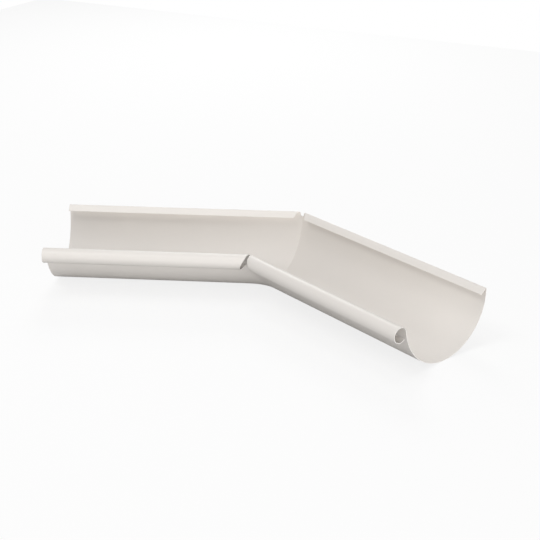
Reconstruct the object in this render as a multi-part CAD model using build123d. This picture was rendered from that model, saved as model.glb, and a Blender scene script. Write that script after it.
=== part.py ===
from build123d import *
import os
from math import asin, cos, degrees, radians, sin, tan

os.makedirs("parts", exist_ok=True)

# Inside miter of a half-round gutter: two legs that turn a corner, bead on the concave side.
# All sizes are in mm. u runs across a leg, positive toward the bead; z is up; s runs along the leg.

# the rolled section
gutter_diameter = 125.0
sheet = 0.7
bead_diameter = 18.0
bead_drop = 9.3
bead_tip_angle = -137.0
bead_root_angle = 120.0
fold_height = 5.4
fold_radius = 1.0
lip_slope = 42.0
lip_width = 8.5

# the two legs, and the radius to which the bead's outermost line is bent between them
corner_angle = 135.0
back_length = 300.0
bend_radius = 0.8

# where the bead and the back fold stop short of the corner
bead_gap = 1.9
flare_drop = 2.8
bead_flare = 0.45
fold_stop = 4.0
lip_stop = 8.0
notch_floor = 0.0

# values that follow from the sizes above
half_turn = (180.0 - corner_angle) / 2
slope = tan(radians(half_turn))
outer_radius = gutter_diameter / 2
inner_radius = outer_radius - sheet
middle_radius = outer_radius - sheet / 2
bead_radius = (bead_diameter - sheet) / 2
axis_length = back_length - outer_radius * slope
bead_bearing = -degrees(asin(bead_drop / (middle_radius + bead_radius)))

trough_centre = (0.0, 0.0)
bead_centre = (
    (middle_radius + bead_radius) * cos(radians(bead_bearing)),
    -bead_drop,
)
fold_centre = (
    -middle_radius + fold_radius,
    fold_height - fold_radius - sheet / 2,
)

# the bead side bends round an upright axis that lies on the miter, beyond the bead
bend_across = bead_centre[0] + bead_diameter / 2 + bend_radius
bend_start = bend_across * slope

# directions of the right-hand leg: along it, across it toward the bead, and up
along = Vector(cos(radians(half_turn)), -sin(radians(half_turn)), 0)
across = Vector(-sin(radians(half_turn)), -cos(radians(half_turn)), 0)
upward = Vector(0, 0, 1)


def on_circle(centre, radius, angle):
    """Point at an angle in degrees on a circle in the section."""
    return (
        centre[0] + radius * cos(radians(angle)),
        centre[1] + radius * sin(radians(angle)),
    )


def arc(centre, radius, start, end):
    """Arc of the section between two angles in degrees."""
    return ThreePointArc(
        on_circle(centre, radius, start),
        on_circle(centre, radius, (start + end) / 2),
        on_circle(centre, radius, end),
    )


def bent_strip(centre, radius, start, end):
    """Face of sheet bent on a circle; the radius is that of the middle of the sheet."""
    outer_arc = arc(centre, radius + sheet / 2, start, end)
    inner_arc = arc(centre, radius - sheet / 2, start, end)
    first_end = Line(inner_arc @ 0, outer_arc @ 0)
    last_end = Line(inner_arc @ 1, outer_arc @ 1)
    return make_face([outer_arc, inner_arc, first_end, last_end])


def flat_strip(start, heading, length):
    """Face of flat sheet whose middle line leaves a point at an angle in degrees."""
    side = (
        -sin(radians(heading)) * sheet / 2,
        cos(radians(heading)) * sheet / 2,
    )
    step = (
        cos(radians(heading)) * length,
        sin(radians(heading)) * length,
    )
    corners = [
        (start[0] + side[0], start[1] + side[1]),
        (start[0] + side[0] + step[0], start[1] + side[1] + step[1]),
        (start[0] - side[0] + step[0], start[1] - side[1] + step[1]),
        (start[0] - side[0], start[1] - side[1]),
    ]
    return make_face(Polyline(corners, close=True))


def filled_trough(radius):
    """Face of the trough filled in from its centre out to a radius, from the back to the bead."""
    rim = arc(trough_centre, radius, 180, 360 + bead_bearing)
    return make_face([Line(trough_centre, rim @ 0), rim, Line(rim @ 1, trough_centre)])


def in_leg(s, u, z):
    """Point of the right-hand leg given along, across and up."""
    return along * s + across * u + upward * z


def across_leg(s):
    """Plane across the right-hand leg, facing the corner."""
    return Plane(origin=in_leg(s, 0, 0), x_dir=across, z_dir=along * -1)


def up_to_miter(body):
    """Trim a body on the miter plane and keep the right-hand side."""
    return split(body, bisect_by=Plane(origin=(0, 0, 0), z_dir=(1, 0, 0)), keep=Keep.TOP)


def keep_outer(body, points):
    """Cut a body by the plane through three points and keep the side away from the corner."""
    first, second, third = points
    normal = (second - first).cross(third - first)
    if normal.dot(along) < 0:
        normal = normal * -1
    return split(body, bisect_by=Plane(origin=first, z_dir=normal), keep=Keep.TOP)


# section of the sheet, in parts that end in different ways at the corner
trough_face = bent_strip(trough_centre, middle_radius, 180, 360 + bead_bearing)
root_face = bent_strip(bead_centre, bead_radius, 180 + bead_bearing, bead_root_angle)
curl_face = bent_strip(bead_centre, bead_radius, bead_root_angle, bead_tip_angle)
wall_face = flat_strip((-middle_radius, 0), 90, fold_centre[1])
fold_face = bent_strip(fold_centre, fold_radius, 180, 90 - lip_slope)
lip_start = on_circle(fold_centre, fold_radius, 90 - lip_slope)
lip_face = flat_strip(lip_start, -lip_slope, lip_width)
lip_edge = (
    lip_start[0] + lip_width * cos(radians(lip_slope)),
    lip_start[1] - lip_width * sin(radians(lip_slope)),
)

# the right-hand leg, drawn on its end plane and run up to where the bend starts
end_plane = across_leg(axis_length)
straight_length = axis_length - bend_start
straight_trough = extrude(end_plane * (trough_face + root_face), straight_length)
straight_curl = extrude(end_plane * curl_face, straight_length)

# the trough in the bend: a sharp crease down the back, rounded on the bead side
bend_plane = across_leg(bend_start)
bend_axis = Axis(in_leg(bend_start, bend_across, 0), (0, 0, 1))
past_miter = bend_start + outer_radius
outer_crease = up_to_miter(extrude(bend_plane * filled_trough(outer_radius), past_miter))
inner_crease = up_to_miter(extrude(bend_plane * filled_trough(inner_radius), past_miter))
outer_round = revolve(bend_plane * filled_trough(outer_radius), bend_axis, half_turn)
inner_round = revolve(bend_plane * filled_trough(inner_radius), bend_axis, half_turn)
bent_trough = (outer_crease + outer_round) - (inner_crease + inner_round)

# the bead in the bend: its root goes through, its curl stops on an upright cut that flares below
bent_root = revolve(bend_plane * root_face, bend_axis, half_turn)
bent_curl = revolve(bend_plane * curl_face, bend_axis, half_turn)
upright_cut = [
    in_leg(bead_gap, 0, 0),
    in_leg(bead_gap + outer_radius * slope, outer_radius, 0),
    in_leg(bead_gap, 0, -flare_drop),
]
flare_cut = [
    in_leg(bead_gap, 0, -flare_drop),
    in_leg(bead_gap + outer_radius * slope, outer_radius, -flare_drop),
    in_leg(bead_gap + bead_diameter * bead_flare, 0, -flare_drop - bead_diameter),
]
bent_curl = keep_outer(keep_outer(bent_curl, upright_cut), flare_cut)

# the back fold stops on a slanting cut that leaves a notch in the top edge
back_edge = extrude(end_plane * (wall_face + fold_face + lip_face), axis_length + outer_radius)
corner_back = -middle_radius * slope
fold_cut = [
    in_leg(corner_back + fold_stop, -middle_radius, fold_height),
    in_leg(lip_edge[0] * slope + lip_stop, lip_edge[0], lip_edge[1]),
    in_leg(corner_back, -middle_radius, notch_floor),
]
back_edge = up_to_miter(keep_outer(back_edge, fold_cut))

# join the leg and mirror it to the other side
right_leg = straight_trough + straight_curl + bent_trough + bent_root + bent_curl + back_edge
left_leg = mirror(right_leg, about=Plane.YZ)
miter = right_leg + left_leg

# stand it on its underside, centred on its footprint
box = miter.bounding_box()
middle = box.center()
miter = Pos(-middle.X, -middle.Y, -box.min.Z) * miter

export_step(miter, "parts/gutter_miter.step")
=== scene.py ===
"""Looks of the gutter inside miter: one bent sheet with its coat, on a pale floor in soft light."""

import logging
from dataclasses import dataclass, field
from enum import Enum
from math import asin, cos, degrees, radians, sin, tan
from typing import Any, Sequence

import bpy
from mathutils import Euler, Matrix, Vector


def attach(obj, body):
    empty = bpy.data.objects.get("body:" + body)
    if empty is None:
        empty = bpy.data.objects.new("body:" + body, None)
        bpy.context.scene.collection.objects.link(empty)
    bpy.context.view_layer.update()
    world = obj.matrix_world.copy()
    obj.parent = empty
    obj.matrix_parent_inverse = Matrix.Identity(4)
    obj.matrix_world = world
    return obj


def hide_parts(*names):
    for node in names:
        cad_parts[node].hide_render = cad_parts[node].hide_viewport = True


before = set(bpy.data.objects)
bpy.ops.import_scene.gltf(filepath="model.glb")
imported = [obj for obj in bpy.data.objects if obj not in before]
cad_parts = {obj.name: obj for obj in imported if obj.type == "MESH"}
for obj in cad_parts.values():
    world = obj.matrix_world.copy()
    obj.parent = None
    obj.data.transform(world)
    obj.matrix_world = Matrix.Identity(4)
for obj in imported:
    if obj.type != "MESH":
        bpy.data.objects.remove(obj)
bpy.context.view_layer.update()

MM = 0.001
CAD_NODE = "gutter_miter"
RUN_MAP = "sheet_run"
WHITE = (1.0, 1.0, 1.0, 1.0)

Value = Any  # a plain number, vector or name, or the output socket that gives it

log = logging.getLogger("gutter_miter")


class Stop(Enum):
    """How a strip of the section ends at the corner, as the number kept on its points."""

    MITER = 0.0
    BEAD = 1.0
    FOLD = 2.0


STOP_TOLERANCE = 0.25


@dataclass(frozen=True)
class Arc:
    """A stretch of the section's middle line that lies on a circle, in metres and degrees."""

    centre: tuple[float, float]
    radius: float
    start: float
    end: float
    points: int
    stop: Stop


@dataclass(frozen=True)
class Run:
    """A straight stretch of the section's middle line, in metres."""

    start: tuple[float, float]
    end: tuple[float, float]
    stop: Stop


@dataclass(frozen=True)
class RolledSection:
    """Section of the sheet across a leg, in mm and degrees, with the trough's centre as its origin."""

    gutter_diameter: float = 125.0
    sheet: float = 0.7
    bead_diameter: float = 18.0
    bead_drop: float = 9.3
    bead_tip_angle: float = -137.0
    bead_root_angle: float = 120.0
    fold_height: float = 5.4
    fold_radius: float = 1.0
    lip_slope: float = 42.0
    lip_width: float = 8.5

    @property
    def outer_radius(self) -> float:
        """Outside radius of the trough."""
        return self.gutter_diameter / 2

    @property
    def middle_radius(self) -> float:
        """Radius of the middle of the trough's sheet."""
        return self.outer_radius - self.sheet / 2

    @property
    def bead_radius(self) -> float:
        """Radius of the middle of the bead's sheet."""
        return (self.bead_diameter - self.sheet) / 2

    @property
    def bead_bearing(self) -> float:
        """Angle in radians, seen from the trough's centre, at which the sheet turns into the bead."""
        return -asin(self.bead_drop / (self.middle_radius + self.bead_radius))

    @property
    def bead_centre(self) -> tuple[float, float]:
        """Centre of the bead's circle."""
        reach = (self.middle_radius + self.bead_radius) * cos(self.bead_bearing)
        return reach, -self.bead_drop

    @property
    def fold_centre(self) -> tuple[float, float]:
        """Centre of the bend at the top of the back wall."""
        return -self.middle_radius + self.fold_radius, self.fold_height - self.fold_radius - self.sheet / 2

    @property
    def lip_start(self) -> tuple[float, float]:
        """Point where the bend runs out into the flat lip."""
        angle = radians(90 - self.lip_slope)
        centre = self.fold_centre
        return centre[0] + self.fold_radius * cos(angle), centre[1] + self.fold_radius * sin(angle)

    @property
    def lip_edge(self) -> tuple[float, float]:
        """Free edge of the lip."""
        start = self.lip_start
        slope = radians(self.lip_slope)
        return start[0] + self.lip_width * cos(slope), start[1] - self.lip_width * sin(slope)

    def stretches(self) -> list[Arc | Run]:
        """Middle line of the sheet from the lip's edge to the bead's tip.

        Returns:
            The arcs and runs in metres, end to end.
        """
        turn = degrees(self.bead_bearing)
        wall = -self.middle_radius
        trough, fold, bead = _metres((0.0, 0.0)), _metres(self.fold_centre), _metres(self.bead_centre)
        return [
            Run(_metres(self.lip_edge), _metres(self.lip_start), Stop.FOLD),
            Arc(fold, self.fold_radius * MM, 90 - self.lip_slope, 180, points=12, stop=Stop.FOLD),
            Run(_metres((wall, self.fold_centre[1])), _metres((wall, 0.0)), Stop.FOLD),
            Arc(trough, self.middle_radius * MM, 180, 360 + turn, points=121, stop=Stop.MITER),
            Arc(bead, self.bead_radius * MM, 180 + turn, self.bead_root_angle, points=14, stop=Stop.MITER),
            Arc(bead, self.bead_radius * MM, self.bead_root_angle, self.bead_tip_angle, points=65, stop=Stop.BEAD),
        ]


def _metres(point: Sequence[float]) -> tuple[float, float]:
    """A section point in mm as one in metres."""
    return point[0] * MM, point[1] * MM


class NodeSketch:
    """Short calls that add nodes to a tree and link them."""

    def __init__(self, tree: bpy.types.NodeTree) -> None:
        """Keep the tree that the nodes go into.

        Args:
            tree: the node tree of a modifier, a material or a group.
        """
        self.tree = tree
        self.inputs: Any = {}

    def add(self, kind: str, inputs: dict[str | int, Value] | None = None, **settings: Any) -> bpy.types.Node:
        """Add a node.

        Args:
            kind: the node's type name.
            inputs: values or output sockets for the node's inputs, by name or number.
            settings: properties set on the node itself, before its inputs.

        Returns:
            The new node.
        """
        node = self.tree.nodes.new(kind)
        for name, value in settings.items():
            setattr(node, name, value)
        for key, value in (inputs or {}).items():
            self.feed(node.inputs[key], value)
        return node

    def feed(self, socket: bpy.types.NodeSocket, value: Value) -> None:
        """Link an output socket to an input, or set the input's own value.

        Args:
            socket: the input.
            value: what it gets.
        """
        if isinstance(value, bpy.types.NodeSocket):
            self.tree.links.new(value, socket)
        else:
            socket.default_value = value

    def math(self, operation: str, first: Value, second: Value = 0.0, third: Value = 0.0) -> bpy.types.NodeSocket:
        """Result of one Math node.

        Args:
            operation: the node's operation, such as MULTIPLY_ADD.
            first: value or socket.
            second: value or socket.
            third: value or socket, for the operations that take it.

        Returns:
            The output socket.
        """
        node = self.add("ShaderNodeMath", {0: first, 1: second, 2: third}, operation=operation)
        return node.outputs[0]


def scalar_input(tree: bpy.types.NodeTree, name: str, value: float) -> None:
    """Give a tree a named number, with its default, as an input."""
    socket = tree.interface.new_socket(name=name, in_out="INPUT", socket_type="NodeSocketFloat")
    socket.default_value = value


@dataclass
class BentSheet:
    """The whole piece: the section run along two legs, trimmed at the corner and given its thickness.

    Sizes are in mm and degrees, apart from the welding distance, which is in metres.
    """

    section: RolledSection = field(default_factory=RolledSection)
    corner_angle: float = 135.0
    back_length: float = 300.0
    bend_radius: float = 0.8
    crease_fade: float = 6.0
    bead_gap: float = 1.9
    flare_drop: float = 2.8
    bead_flare: float = 0.45
    fold_stop: float = 4.0
    lip_stop: float = 8.0
    notch_floor: float = 0.0
    stations: int = 21
    crowding: float = 2.2
    weld: float = 0.00002
    edge_round: float = 0.16
    edge_steps: int = 2
    edge_angle: float = 60.0

    @property
    def half_turn(self) -> float:
        """Half of the turn that the gutter makes, in radians."""
        return radians(180 - self.corner_angle) / 2

    @property
    def axis_length(self) -> float:
        """Length of a leg along the trough's centre line, in mm."""
        return self.back_length - self.section.outer_radius * tan(self.half_turn)

    @property
    def bend_across(self) -> float:
        """Distance in mm across the leg to the upright axis that the bead side bends round."""
        return self.section.bead_centre[0] + self.section.bead_diameter / 2 + self.bend_radius

    def fold_plane(self) -> tuple[float, float, float]:
        """Slanting cut that ends the back fold near the corner.

        Returns:
            Distance along the leg at the trough's centre in mm, and its change per mm across and per mm up.
        """
        section = self.section
        wall = -section.middle_radius
        corner = wall * tan(self.half_turn)
        rise = self.fold_stop / (section.fold_height - self.notch_floor)
        lip_across, lip_up = section.lip_edge
        lip_along = lip_across * tan(self.half_turn) + self.lip_stop
        spread = (lip_along - corner - rise * (lip_up - self.notch_floor)) / (lip_across - wall)
        return corner - spread * wall - rise * self.notch_floor, spread, rise

    def numbers(self) -> dict[str, float]:
        """Values of the tree's named inputs, in metres, radians and plain ratios."""
        start, spread, rise = self.fold_plane()
        return {
            "Half turn": self.half_turn,
            "Leg length": self.axis_length * MM,
            "Trough radius": self.section.outer_radius * MM,
            "Bend across": self.bend_across * MM,
            "Crease fade": self.crease_fade * MM,
            "Bead gap": self.bead_gap * MM,
            "Flare drop": self.flare_drop * MM,
            "Bead flare": self.bead_flare,
            "Fold start": start * MM,
            "Fold spread": spread,
            "Fold rise": rise,
            "Depth shift": self.depth_shift(),
            "Crowding": self.crowding,
            "Weld": self.weld,
        }

    def depth_shift(self) -> float:
        """Distance in metres from the legs' meeting point to the middle of the box, along -Y."""
        front = (self.section.bead_centre[0] + self.section.bead_diameter / 2) * cos(self.half_turn)
        front += self.axis_length * sin(self.half_turn)
        back = self.section.outer_radius / cos(self.half_turn)
        return (front - back) / 2 * MM

    def profile(self, sketch: NodeSketch) -> bpy.types.NodeSocket:
        """Middle line of the section as one curve, in the X and Y of the tree.

        Args:
            sketch: the tree in the making.

        Returns:
            Socket with the curve, whose points carry how they stop, their place and their girth.
        """
        join = sketch.add("GeometryNodeJoinGeometry")
        for stretch in reversed(self.section.stretches()):
            if isinstance(stretch, Arc):
                arc = sketch.add("GeometryNodeCurveArc", {
                    "Resolution": stretch.points,
                    "Radius": stretch.radius,
                    "Start Angle": radians(stretch.start),
                    "Sweep Angle": radians(stretch.end - stretch.start),
                }, mode="RADIUS")
                curve = sketch.add("GeometryNodeTransform", {
                    "Geometry": arc.outputs["Curve"],
                    "Translation": (*stretch.centre, 0.0),
                }).outputs[0]
            else:
                curve = sketch.add("GeometryNodeCurvePrimitiveLine", {
                    "Start": (*stretch.start, 0.0),
                    "End": (*stretch.end, 0.0),
                }, mode="POINTS").outputs[0]
            marked = self.store(sketch, curve, "stop", stretch.stop.value)
            sketch.tree.links.new(marked, join.inputs[0])
        edges = sketch.add("GeometryNodeCurveToMesh", {"Curve": join.outputs[0]}).outputs[0]
        welded = sketch.add("GeometryNodeMergeByDistance", {
            "Geometry": edges,
            "Distance": sketch.inputs["Weld"],
        }).outputs[0]
        line = sketch.add("GeometryNodeMeshToCurve", {"Mesh": welded}).outputs[0]
        place = sketch.add("GeometryNodeInputPosition").outputs[0]
        placed = self.store(sketch, line, "section_point", place, "FLOAT_VECTOR")
        girth = sketch.add("GeometryNodeSplineParameter").outputs["Length"]
        return self.store(sketch, placed, "girth", girth)

    def store(self, sketch: NodeSketch, geometry: Value, name: str, value: Value, kind: str = "FLOAT",
              domain: str = "POINT") -> bpy.types.NodeSocket:
        """Keep a value on each point under a name.

        Args:
            sketch: the tree in the making.
            geometry: socket with the geometry.
            name: the attribute's name.
            value: number or socket.
            kind: the attribute's data type.
            domain: where it is kept.

        Returns:
            Socket with the same geometry.
        """
        node = sketch.add("GeometryNodeStoreNamedAttribute", {
            "Geometry": geometry,
            "Name": name,
            "Value": value,
        }, data_type=kind, domain=domain)
        return node.outputs[0]

    def recall(self, sketch: NodeSketch, name: str, kind: str = "FLOAT") -> bpy.types.NodeSocket:
        """Socket with a value kept earlier under a name."""
        return sketch.add("GeometryNodeInputNamedAttribute", {"Name": name}, data_type=kind).outputs[0]

    def corner_end(self, sketch: NodeSketch, across: Value, up: Value) -> bpy.types.NodeSocket:
        """Distance along the leg at which each point of the section ends at the corner.

        Args:
            sketch: the tree in the making.
            across: socket with the point's distance across the leg.
            up: socket with its height.

        Returns:
            Socket with the distance.
        """
        stop = self.recall(sketch, "stop")
        slope = sketch.math("TANGENT", sketch.inputs["Half turn"])
        miter = sketch.math("MULTIPLY", across, slope)
        flare_top = sketch.math("MULTIPLY", sketch.inputs["Flare drop"], -1.0)
        below = sketch.math("SUBTRACT", flare_top, up)
        flare = sketch.math("MULTIPLY", sketch.math("MAXIMUM", below, 0.0), sketch.inputs["Bead flare"])
        bead = sketch.math("ADD", sketch.math("ADD", miter, sketch.inputs["Bead gap"]), flare)
        sideways = sketch.math("MULTIPLY_ADD", across, sketch.inputs["Fold spread"], sketch.inputs["Fold start"])
        fold = sketch.math("MULTIPLY_ADD", up, sketch.inputs["Fold rise"], sideways)
        end = miter
        for kind, limit in ((Stop.BEAD, bead), (Stop.FOLD, fold)):
            is_kind = sketch.math("COMPARE", stop, kind.value, STOP_TOLERANCE)
            beyond = sketch.math("MAXIMUM", sketch.math("SUBTRACT", limit, miter), 0.0)
            end = sketch.math("MULTIPLY_ADD", beyond, is_kind, end)
        return end

    def bend_pull(self, sketch: NodeSketch, along: Value, across: Value) -> bpy.types.NodeSocket:
        """Share of each point's distance from the bend's axis that it keeps, which rounds the bead side.

        Args:
            sketch: the tree in the making.
            along: socket with the point's distance along the leg.
            across: socket with its distance across the leg.

        Returns:
            Socket with the share: one on the straight leg and on the creased back of the trough.
        """
        slope = sketch.math("TANGENT", sketch.inputs["Half turn"])
        start = sketch.math("MULTIPLY", sketch.inputs["Bend across"], slope)
        ahead = sketch.math("MAXIMUM", sketch.math("SUBTRACT", start, along), 0.0)
        aside = sketch.math("SUBTRACT", sketch.inputs["Bend across"], across)
        reach = sketch.math("SQRT", sketch.math("MULTIPLY_ADD", ahead, ahead, sketch.math("MULTIPLY", aside, aside)))
        rounded = sketch.math("DIVIDE", aside, reach)
        sharp = sketch.add("ShaderNodeMapRange", {
            "Value": across,
            "From Min": sketch.math("MULTIPLY", sketch.inputs["Crease fade"], -1.0),
            "From Max": sketch.inputs["Crease fade"],
            "To Min": 1.0,
            "To Max": 0.0,
        }, interpolation_type="SMOOTHSTEP").outputs["Result"]
        return sketch.math("MULTIPLY_ADD", sketch.math("SUBTRACT", 1.0, rounded), sharp, rounded)

    def leg(self, sketch: NodeSketch) -> bpy.types.NodeSocket:
        """Right-hand leg as a surface along the middle of the sheet.

        Args:
            sketch: the tree in the making.

        Returns:
            Socket with the surface.
        """
        line = sketch.add("GeometryNodeCurvePrimitiveLine", mode="POINTS").outputs[0]
        path = sketch.add("GeometryNodeResampleCurve", {"Curve": line, "Count": self.stations}).outputs[0]
        factor = sketch.add("GeometryNodeSplineParameter").outputs["Factor"]
        path = self.store(sketch, path, "station", factor)
        surface = sketch.add("GeometryNodeCurveToMesh", {
            "Curve": path,
            "Profile Curve": self.profile(sketch),
        }).outputs[0]
        split = sketch.add("ShaderNodeSeparateXYZ", {0: self.recall(sketch, "section_point", "FLOAT_VECTOR")})
        across, up = split.outputs["X"], split.outputs["Y"]
        near = self.corner_end(sketch, across, up)
        share = sketch.math("POWER", self.recall(sketch, "station"), sketch.inputs["Crowding"])
        span = sketch.math("SUBTRACT", sketch.inputs["Leg length"], near)
        along = sketch.math("MULTIPLY_ADD", span, share, near)
        cosine = sketch.math("COSINE", sketch.inputs["Half turn"])
        sine = sketch.math("SINE", sketch.inputs["Half turn"])
        x = sketch.math("SUBTRACT", sketch.math("MULTIPLY", along, cosine), sketch.math("MULTIPLY", across, sine))
        toward = sketch.math("MULTIPLY_ADD", along, sine, sketch.math("MULTIPLY", across, cosine))
        pull = self.bend_pull(sketch, along, across)
        axis = sketch.math("DIVIDE", sketch.inputs["Bend across"], cosine)
        toward = sketch.math("MULTIPLY_ADD", sketch.math("SUBTRACT", toward, axis), pull, axis)
        y = sketch.math("SUBTRACT", sketch.inputs["Depth shift"], toward)
        z = sketch.math("ADD", up, sketch.inputs["Trough radius"])
        place = sketch.add("ShaderNodeCombineXYZ", {"X": sketch.math("MULTIPLY", x, pull), "Y": y, "Z": z}).outputs[0]
        placed = sketch.add("GeometryNodeSetPosition", {"Geometry": surface, "Position": place}).outputs[0]
        run = sketch.add("ShaderNodeCombineXYZ", {"X": self.recall(sketch, "girth"), "Y": along}).outputs[0]
        return self.store(sketch, placed, RUN_MAP, run, "FLOAT2", "CORNER")

    def tree(self, finish: bpy.types.Material) -> bpy.types.NodeTree:
        """Node tree that makes the middle surface of the whole piece.

        Args:
            finish: material of the sheet's faces.

        Returns:
            The tree, with its sizes as named inputs.
        """
        tree = bpy.data.node_groups.new("bent_sheet", "GeometryNodeTree")
        tree.interface.new_socket(name="Geometry", in_out="OUTPUT", socket_type="NodeSocketGeometry")
        for name, value in self.numbers().items():
            scalar_input(tree, name, value)
        sketch = NodeSketch(tree)
        sketch.inputs = tree.nodes.new("NodeGroupInput").outputs
        right = self.leg(sketch)
        turned = sketch.add("GeometryNodeTransform", {"Geometry": right, "Scale": (-1.0, 1.0, 1.0)}).outputs[0]
        left = sketch.add("GeometryNodeFlipFaces", {"Mesh": turned}).outputs[0]
        join = sketch.add("GeometryNodeJoinGeometry")
        tree.links.new(left, join.inputs[0])
        tree.links.new(right, join.inputs[0])
        welded = sketch.add("GeometryNodeMergeByDistance", {
            "Geometry": join.outputs[0],
            "Distance": sketch.inputs["Weld"],
        }).outputs[0]
        smooth = sketch.add("GeometryNodeSetShadeSmooth", {"Geometry": welded}).outputs[0]
        real = sketch.add("GeometryNodeRealizeInstances", {"Geometry": smooth}).outputs[0]
        dressed = sketch.add("GeometryNodeSetMaterial", {"Geometry": real, "Material": finish}).outputs[0]
        sketch.add("NodeGroupOutput", {0: dressed})
        return tree

    def modify(self, shell: bpy.types.Object, face: bpy.types.Material) -> None:
        """Give the source object the modifiers that make the sheet.

        Args:
            shell: object with an empty mesh.
            face: finish of the sheet's two faces.
        """
        nodes = shell.modifiers.new("section", "NODES")
        nodes.node_group = self.tree(face)
        numbers = self.numbers()
        for item in nodes.node_group.interface.items_tree:
            if item.in_out == "INPUT":
                nodes[item.identifier] = numbers[item.name]
        wall = shell.modifiers.new("wall", "SOLIDIFY")
        wall.thickness = self.section.sheet * MM
        wall.offset = 0.0
        wall.use_even_offset = True
        wall.use_quality_normals = True
        wall.material_offset_rim = 1
        rounding = shell.modifiers.new("rounding", "BEVEL")
        rounding.width = self.edge_round * MM
        rounding.segments = self.edge_steps
        rounding.limit_method = "ANGLE"
        rounding.angle_limit = radians(self.edge_angle)
        rounding.harden_normals = True

    def build(self, face: bpy.types.Material, edge: bpy.types.Material) -> bpy.types.Object:
        """Make the piece as a plain closed mesh.

        Args:
            face: finish of the sheet's two faces.
            edge: finish of its cut edges, whose lighter colour is a painted highlight.

        Returns:
            The object, at the origin, riding on the root body.
        """
        shell = bpy.data.objects.new("bent_sheet_source", bpy.data.meshes.new("bent_sheet_source"))
        bpy.context.scene.collection.objects.link(shell)
        # the tree leaves its mesh an empty first slot, so the coat comes second and the edge third
        for finish in (None, face, edge):
            shell.data.materials.append(finish)
        self.modify(shell, face)
        evaluated = shell.evaluated_get(bpy.context.evaluated_depsgraph_get())
        mesh = bpy.data.meshes.new_from_object(evaluated)
        mesh.name = "bent_sheet"
        mesh.materials.pop(index=0)
        mesh.materials.append(edge)
        bpy.data.objects.remove(shell)
        piece = bpy.data.objects.new("bent_sheet", mesh)
        bpy.context.scene.collection.objects.link(piece)
        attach(piece, "root")
        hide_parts(CAD_NODE)
        return piece


def shader_group(name: str, numbers: dict[str, float], outputs: dict[str, str]) -> NodeSketch:
    """Start a shader node group.

    Args:
        name: the group's name.
        numbers: its number inputs with their default values.
        outputs: its outputs' socket types by name.

    Returns:
        A sketch of the group, with its input sockets at hand.
    """
    tree = bpy.data.node_groups.new(name, "ShaderNodeTree")
    for label, value in numbers.items():
        scalar_input(tree, label, value)
    for label, kind in outputs.items():
        tree.interface.new_socket(name=label, in_out="OUTPUT", socket_type=kind)
    sketch = NodeSketch(tree)
    sketch.inputs = sketch.add("NodeGroupInput").outputs
    return sketch


@dataclass
class PaintEffects:
    """Effects that every painted surface shares, each as one shader node group."""

    peel: bpy.types.NodeTree = field(init=False)
    drift: bpy.types.NodeTree = field(init=False)
    haze: bpy.types.NodeTree = field(init=False)

    def __post_init__(self) -> None:
        """Make the groups."""
        self.peel = self.orange_peel()
        self.drift = self.tone_drift()
        self.haze = self.handling_haze()

    def noise(self, sketch: NodeSketch, scale: Value, detail: float, seed: float) -> bpy.types.NodeSocket:
        """Smooth noise over the piece, fixed to the piece itself.

        Args:
            sketch: the group in the making.
            scale: cells per metre, as a number or socket.
            detail: octaves of finer noise.
            seed: slice of the noise.

        Returns:
            Socket with values about 0.5.
        """
        place = sketch.add("ShaderNodeTexCoord").outputs["Object"]
        node = sketch.add("ShaderNodeTexNoise", {
            "Vector": place,
            "W": seed,
            "Scale": scale,
            "Detail": detail,
        }, noise_dimensions="4D")
        return node.outputs["Fac"]

    def orange_peel(self) -> bpy.types.NodeTree:
        """Height in metres of the paint's orange peel over the slight waves of the sheet below it."""
        sketch = shader_group("orange_peel", {
            "Peel per metre": 620.0,
            "Peel height": 0.000009,
            "Wave per metre": 14.0,
            "Wave height": 0.00007,
        }, {"Height": "NodeSocketFloat"})
        fine = self.noise(sketch, sketch.inputs["Peel per metre"], detail=1.0, seed=1.7)
        wide = self.noise(sketch, sketch.inputs["Wave per metre"], detail=1.0, seed=5.2)
        waves = sketch.math("MULTIPLY", wide, sketch.inputs["Wave height"])
        height = sketch.math("MULTIPLY_ADD", fine, sketch.inputs["Peel height"], waves)
        sketch.add("NodeGroupOutput", {0: height})
        return sketch.tree

    def tone_drift(self) -> bpy.types.NodeTree:
        """Paint colour with a slight drift in its tone and a fine mottle."""
        sketch = shader_group("tone_drift", {
            "Drift": 0.02,
            "Drift per metre": 7.0,
            "Mottle": 0.012,
            "Mottle per metre": 240.0,
        }, {"Color": "NodeSocketColor"})
        sketch.tree.interface.new_socket(name="Paint", in_out="INPUT", socket_type="NodeSocketColor")
        broad = self.noise(sketch, sketch.inputs["Drift per metre"], detail=2.0, seed=3.1)
        small = self.noise(sketch, sketch.inputs["Mottle per metre"], detail=2.0, seed=8.4)
        drift = sketch.math("MULTIPLY", sketch.math("SUBTRACT", broad, 0.5), sketch.inputs["Drift"])
        mottle = sketch.math("MULTIPLY", sketch.math("SUBTRACT", small, 0.5), sketch.inputs["Mottle"])
        share = sketch.math("ADD", sketch.math("ADD", drift, mottle), 1.0)
        colour = sketch.add("ShaderNodeVectorMath", {0: sketch.inputs["Paint"], "Scale": share}, operation="SCALE")
        sketch.add("NodeGroupOutput", {0: colour.outputs[0]})
        return sketch.tree

    def handling_haze(self) -> bpy.types.NodeTree:
        """Roughness with the soft patches that wiping and stacking leave."""
        sketch = shader_group("handling_haze", {
            "Level": 0.45,
            "Spread": 0.05,
            "Patches per metre": 30.0,
        }, {"Roughness": "NodeSocketFloat"})
        patches = self.noise(sketch, sketch.inputs["Patches per metre"], detail=3.0, seed=6.6)
        offset = sketch.math("SUBTRACT", patches, 0.5)
        roughness = sketch.math("MULTIPLY_ADD", offset, sketch.inputs["Spread"], sketch.inputs["Level"])
        sketch.add("NodeGroupOutput", {0: roughness})
        return sketch.tree


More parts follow.
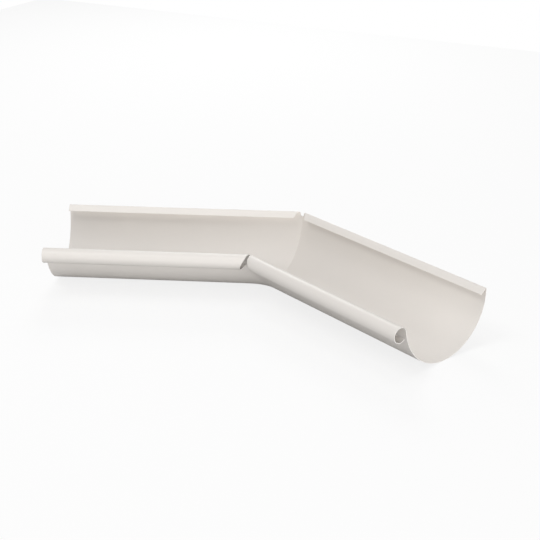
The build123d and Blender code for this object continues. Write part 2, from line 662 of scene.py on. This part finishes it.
@dataclass(frozen=True)
class PaintedFinish:
    """A painted steel surface: colour, gloss and relief, with the fine lines of rolling per metre and in metres."""

    name: str
    colour: tuple[float, float, float]
    roughness: float
    haze: float
    peel_height: float
    lines_across: float
    lines_along: float
    line_height: float

    def material(self, effects: PaintEffects) -> bpy.types.Material:
        """The finish as a material.

        Args:
            effects: the shared shader groups.

        Returns:
            The material.
        """
        material = bpy.data.materials.new(self.name)
        material.use_nodes = True
        sketch = NodeSketch(material.node_tree)
        shader = material.node_tree.nodes["Principled BSDF"]
        tone = sketch.add("ShaderNodeGroup", {"Paint": (*self.colour, 1.0)}, node_tree=effects.drift)
        haze = sketch.add("ShaderNodeGroup", {"Level": self.roughness, "Spread": self.haze}, node_tree=effects.haze)
        peel = sketch.add("ShaderNodeGroup", {"Peel height": self.peel_height}, node_tree=effects.peel)
        run = sketch.add("ShaderNodeUVMap", uv_map=RUN_MAP).outputs["UV"]
        spread = sketch.add("ShaderNodeVectorMath", {
            0: run,
            1: (self.lines_across, self.lines_along, 0.0),
        }, operation="MULTIPLY").outputs[0]
        lines = sketch.add("ShaderNodeTexNoise", {"Vector": spread, "Scale": 1.0, "Detail": 2.0}).outputs["Fac"]
        height = sketch.math("MULTIPLY_ADD", lines, self.line_height, peel.outputs["Height"])
        relief = sketch.add("ShaderNodeBump", {"Strength": 1.0, "Distance": 1.0, "Height": height})
        sketch.feed(shader.inputs["Base Color"], tone.outputs["Color"])
        sketch.feed(shader.inputs["Roughness"], haze.outputs["Roughness"])
        sketch.feed(shader.inputs["Normal"], relief.outputs["Normal"])
        return material


SATIN_COAT = PaintedFinish(
    name="satin_coat",
    colour=(0.805, 0.768, 0.727),
    roughness=0.45,
    haze=0.05,
    peel_height=0.000009,
    lines_across=900.0,
    lines_along=5.0,
    line_height=0.000003,
)
# Cut edges: the coat made lighter in colour, a painted highlight where the edges catch the light.
EDGE_COAT_PAINTED_HIGHLIGHT = PaintedFinish(
    name="edge_coat_painted_highlight",
    colour=(0.9, 0.87, 0.835),
    roughness=0.5,
    haze=0.08,
    peel_height=0.000004,
    lines_across=2600.0,
    lines_along=2600.0,
    line_height=0.00001,
)


@dataclass(frozen=True)
class SoftLamp:
    """Rectangular soft lamp that faces the piece, in degrees, metres and watts."""

    name: str
    azimuth: float
    elevation: float
    width: float
    height: float
    power: float
    reach: float = 2.0

    def hang(self) -> None:
        """Make the lamp; azimuth 0 is in front of the piece and 90 on its right."""
        turn, rise = radians(self.azimuth), radians(self.elevation)
        heading = Vector((sin(turn) * cos(rise), -cos(turn) * cos(rise), sin(rise)))
        light = bpy.data.lights.new(self.name, "AREA")
        light.shape = "RECTANGLE"
        light.size = self.width
        light.size_y = self.height
        light.energy = self.power
        lamp = bpy.data.objects.new(self.name, light)
        lamp.location = heading * self.reach
        lamp.rotation_euler = (-heading).to_track_quat("-Z", "Y").to_euler()
        bpy.context.scene.collection.objects.link(lamp)


@dataclass
class Studio:
    """Light tent: even white surroundings, a floor that looks white, and a few soft lamps."""

    floor_half: float = 1.4
    floor_grey: float = 0.5
    floor_roughness: float = 0.9
    seen_white: float = 0.95
    seen_glow: float = 0.8
    world_strength: float = 0.403
    lamps: tuple[SoftLamp, ...] = (
        SoftLamp("right", azimuth=60.0, elevation=12.0, width=1.8, height=0.8, power=11.5),
        SoftLamp("low_right", azimuth=60.0, elevation=4.0, width=1.8, height=0.24, power=3.0),
        SoftLamp("low_front", azimuth=30.0, elevation=4.0, width=1.8, height=0.24, power=9.2),
        SoftLamp("high_front", azimuth=-30.0, elevation=60.0, width=0.7, height=0.7, power=9.4),
        SoftLamp("overhead", azimuth=0.0, elevation=88.0, width=0.7, height=0.7, power=4.4),
        SoftLamp("behind", azimuth=-150.0, elevation=35.0, width=0.7, height=0.7, power=10.3),
    )

    def build(self) -> None:
        """Make the floor, the world and the lamps."""
        self.floor()
        self.world()
        for lamp in self.lamps:
            lamp.hang()

    def paint(self) -> bpy.types.Material:
        """Grey floor for the light, and a nearly white one with a soft shadow for the camera."""
        material = bpy.data.materials.new("floor_paint")
        material.use_nodes = True
        sketch = NodeSketch(material.node_tree)
        grey = material.node_tree.nodes["Principled BSDF"]
        grey.inputs["Base Color"].default_value = (self.floor_grey,) * 3 + (1.0,)
        grey.inputs["Roughness"].default_value = self.floor_roughness
        white = sketch.add("ShaderNodeBsdfDiffuse", {"Color": (self.seen_white,) * 3 + (1.0,)})
        glow = sketch.add("ShaderNodeEmission", {"Color": WHITE, "Strength": 1.0})
        seen = sketch.add("ShaderNodeMixShader", {0: self.seen_glow, 1: white.outputs[0], 2: glow.outputs[0]})
        sight = sketch.add("ShaderNodeLightPath").outputs["Is Camera Ray"]
        both = sketch.add("ShaderNodeMixShader", {0: sight, 1: grey.outputs[0], 2: seen.outputs[0]})
        sketch.feed(material.node_tree.nodes["Material Output"].inputs["Surface"], both.outputs[0])
        return material

    def floor(self) -> None:
        """Lay the floor under the piece."""
        half = self.floor_half
        mesh = bpy.data.meshes.new("floor")
        corners = [(-half, -half, 0), (half, -half, 0), (half, half, 0), (-half, half, 0)]
        mesh.from_pydata(corners, [], [(0, 1, 2, 3)])
        mesh.materials.append(self.paint())
        floor = bpy.data.objects.new("floor", mesh)
        bpy.context.scene.collection.objects.link(floor)

    def world(self) -> None:
        """White surroundings that look white and give less light than they show."""
        world = bpy.data.worlds.new("studio")
        world.use_nodes = True
        bpy.context.scene.world = world
        sketch = NodeSketch(world.node_tree)
        sight = sketch.add("ShaderNodeLightPath").outputs["Is Camera Ray"]
        strength = sketch.math("MAXIMUM", sight, self.world_strength)
        background = world.node_tree.nodes["Background"]
        background.inputs["Color"].default_value = WHITE
        sketch.feed(background.inputs["Strength"], strength)


@dataclass(frozen=True)
class PhotoCamera:
    """Camera at the photograph's viewpoint, in metres, degrees and mm, solved from the piece's straight edges."""

    place: tuple[float, float, float] = (0.59016, -1.10383, 0.59167)
    azimuth: float = 27.450
    pitch: float = 23.976
    lens: float = 76.707
    sensor: float = 36.0

    def build(self) -> None:
        """Make the camera and set it on the scene."""
        data = bpy.data.cameras.new("photo_camera")
        data.lens = self.lens
        data.sensor_width = self.sensor
        camera = bpy.data.objects.new("photo_camera", data)
        camera.location = self.place
        camera.rotation_euler = Euler((radians(90 - self.pitch), 0.0, radians(self.azimuth)), "XYZ")
        bpy.context.scene.collection.objects.link(camera)
        bpy.context.scene.camera = camera


def main() -> None:
    """Build the piece and its surroundings, in order."""
    logging.basicConfig(level=logging.INFO, format="%(name)s: %(message)s")
    effects = PaintEffects()
    piece = BentSheet().build(SATIN_COAT.material(effects), EDGE_COAT_PAINTED_HIGHLIGHT.material(effects))
    log.info("%s: %d faces", piece.name, len(piece.data.polygons))
    studio = Studio()
    studio.build()
    log.info("studio: floor, surroundings and %d lamps", len(studio.lamps))
    camera = PhotoCamera()
    camera.build()
    log.info("photo_camera: lens %.1f mm", camera.lens)
    bpy.context.scene.view_settings.view_transform = "Standard"


if __name__ == "__main__":
    main()
